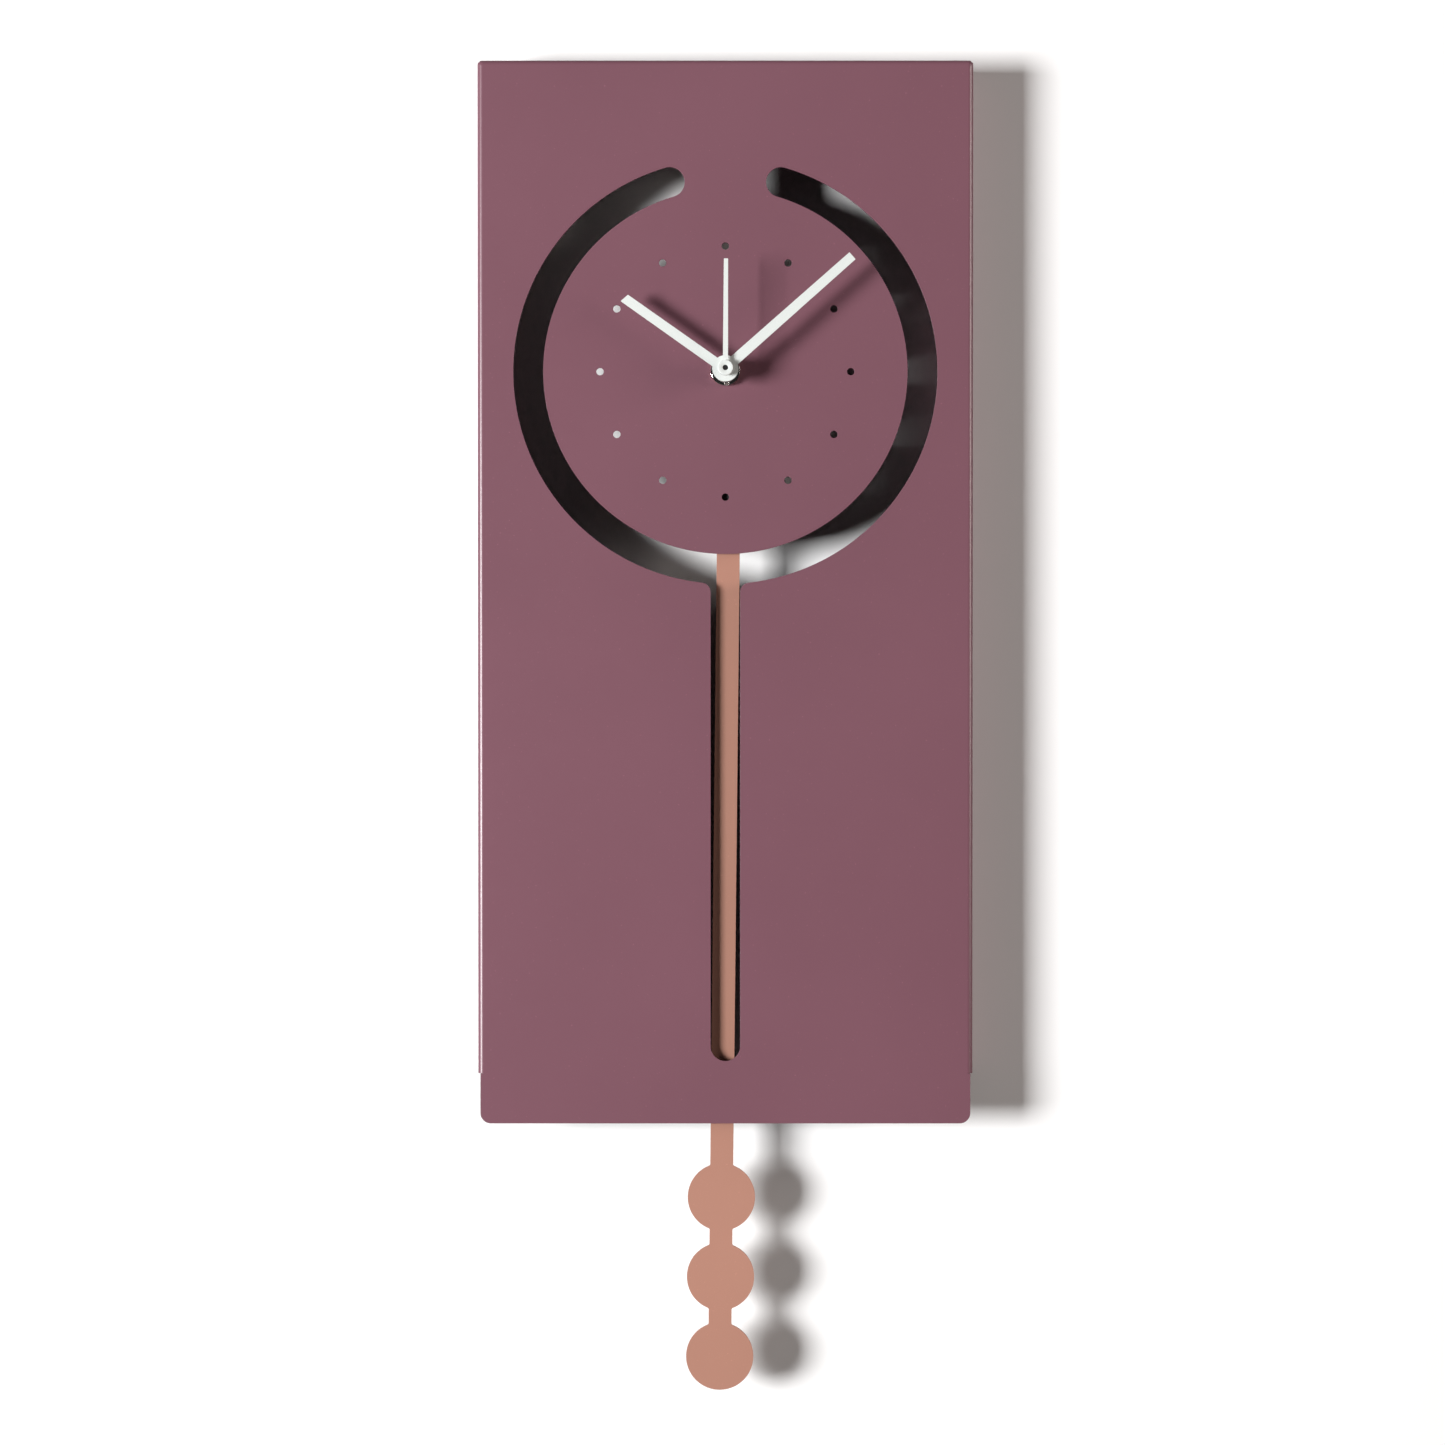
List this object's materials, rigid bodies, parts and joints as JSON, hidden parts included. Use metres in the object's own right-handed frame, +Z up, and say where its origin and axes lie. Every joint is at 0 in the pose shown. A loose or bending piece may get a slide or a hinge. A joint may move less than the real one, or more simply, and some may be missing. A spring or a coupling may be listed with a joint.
{
  "type": "pendulum wall clock",
  "caption": "Flat folded sheet-steel wall clock with a ring slot round the dial, plain straight hands and a flat swinging pendulum strip that ends in discs.",
  "frame": {"origin": "the point on the wall plane where the hanging screw goes in, on the clock's centre line", "axes": "+Z up, the front faces -Y, +X to the right of someone who looks at the clock"},
  "size_m": [0.26, 0.0496, 0.6993],
  "materials": {
    "case_paint": "satin plum powder coat",
    "pendulum_paint": "matte terracotta powder coat",
    "hand_paint": "satin white paint",
    "chrome": "bright plated",
    "zinc_steel": "zinc plated",
    "brass": "turned",
    "rubber": "matte black",
    "black_moulding": "fine moulded grain",
    "black_plastic": "moulded",
    "natural_plastic": "natural acetal",
    "magnet": "dark sintered",
    "copper_winding": "enamelled copper wire",
    "circuit_board": "green solder mask",
    "battery_sleeve": "printed sleeve, plain"
  },
  "bodies": {
    "case": {"case_sheet": "case_paint", "hanger_bar": "zinc_steel", "threaded_bushing": "brass", "rubber_gasket": "rubber", "flat_washer": "brass", "fixing_nut": "chrome", "movement_front_shell": "black_moulding", "movement_rear_cover": "black_moulding", "bearing_plate": "natural_plastic", "stator": "zinc_steel", "motor_coil": "copper_winding", "coil_core": "zinc_steel", "circuit_board": "circuit_board", "clock_chip": "black_plastic", "quartz_crystal": "chrome", "battery": "battery_sleeve", "contact_plus": "chrome", "contact_minus": "chrome", "pendulum_board": "circuit_board", "pendulum_coil": "copper_winding", "pivot_pin": "chrome"},
    "minute": {"minute_hand": "hand_paint", "minute_pipe": "natural_plastic", "centre_wheel": "natural_plastic"},
    "hour": {"hour_hand": "hand_paint", "hour_wheel": "natural_plastic"},
    "second": {"second_hand": "hand_paint", "second_wheel": "natural_plastic"},
    "setting": {"minute_works_wheel": "natural_plastic", "set_knob": "black_plastic"},
    "third": {"third_wheel": "natural_plastic"},
    "intermediate": {"intermediate_wheel": "natural_plastic"},
    "motor_rotor": {"rotor": "magnet"},
    "pendulum": {"hanger_arm": "zinc_steel", "hook_peg": "chrome", "pendulum_magnet": "magnet", "pendulum_bar": "pendulum_paint"}
  },
  "joints": [
    {"name": "minute_turn", "type": "hinge", "parent": "case", "child": "minute", "pos_m": [0, -0.045, -0.15], "axis": [0, 1, 0], "continuous": true},
    {"name": "hour_turn", "type": "hinge", "parent": "case", "child": "hour", "pos_m": [0, -0.04, -0.15], "axis": [0, 1, 0], "continuous": true},
    {"name": "second_turn", "type": "hinge", "parent": "case", "child": "second", "pos_m": [0, -0.048, -0.15], "axis": [0, 1, 0], "continuous": true},
    {"name": "set_knob_turn", "type": "hinge", "parent": "case", "child": "setting", "pos_m": [-0.009, -0.0075, -0.1552], "axis": [0, 1, 0], "continuous": true},
    {"name": "third_turn", "type": "hinge", "parent": "case", "child": "third", "pos_m": [0.00883, -0.02, -0.1551], "axis": [0, 1, 0], "continuous": true},
    {"name": "intermediate_turn", "type": "hinge", "parent": "case", "child": "intermediate", "pos_m": [-0.00624, -0.0166, -0.1464], "axis": [0, 1, 0], "continuous": true},
    {"name": "rotor_turn", "type": "hinge", "parent": "case", "child": "motor_rotor", "pos_m": [-0.01313, -0.0145, -0.14762], "axis": [0, 1, 0], "continuous": true},
    {"name": "pendulum_swing", "type": "hinge", "parent": "case", "child": "pendulum", "pos_m": [0, -0.0225, -0.186], "axis": [0, 1, 0], "range_deg": [-4, 4]}
  ],
  "couplings": [
    {"joint": "hour_turn", "follows": "minute_turn", "ratio": 0.083333},
    {"joint": "second_turn", "follows": "minute_turn", "ratio": 60},
    {"joint": "set_knob_turn", "follows": "minute_turn", "ratio": -0.33333},
    {"joint": "third_turn", "follows": "minute_turn", "ratio": -8},
    {"joint": "intermediate_turn", "follows": "minute_turn", "ratio": -300},
    {"joint": "rotor_turn", "follows": "minute_turn", "ratio": 1800}
  ]
}
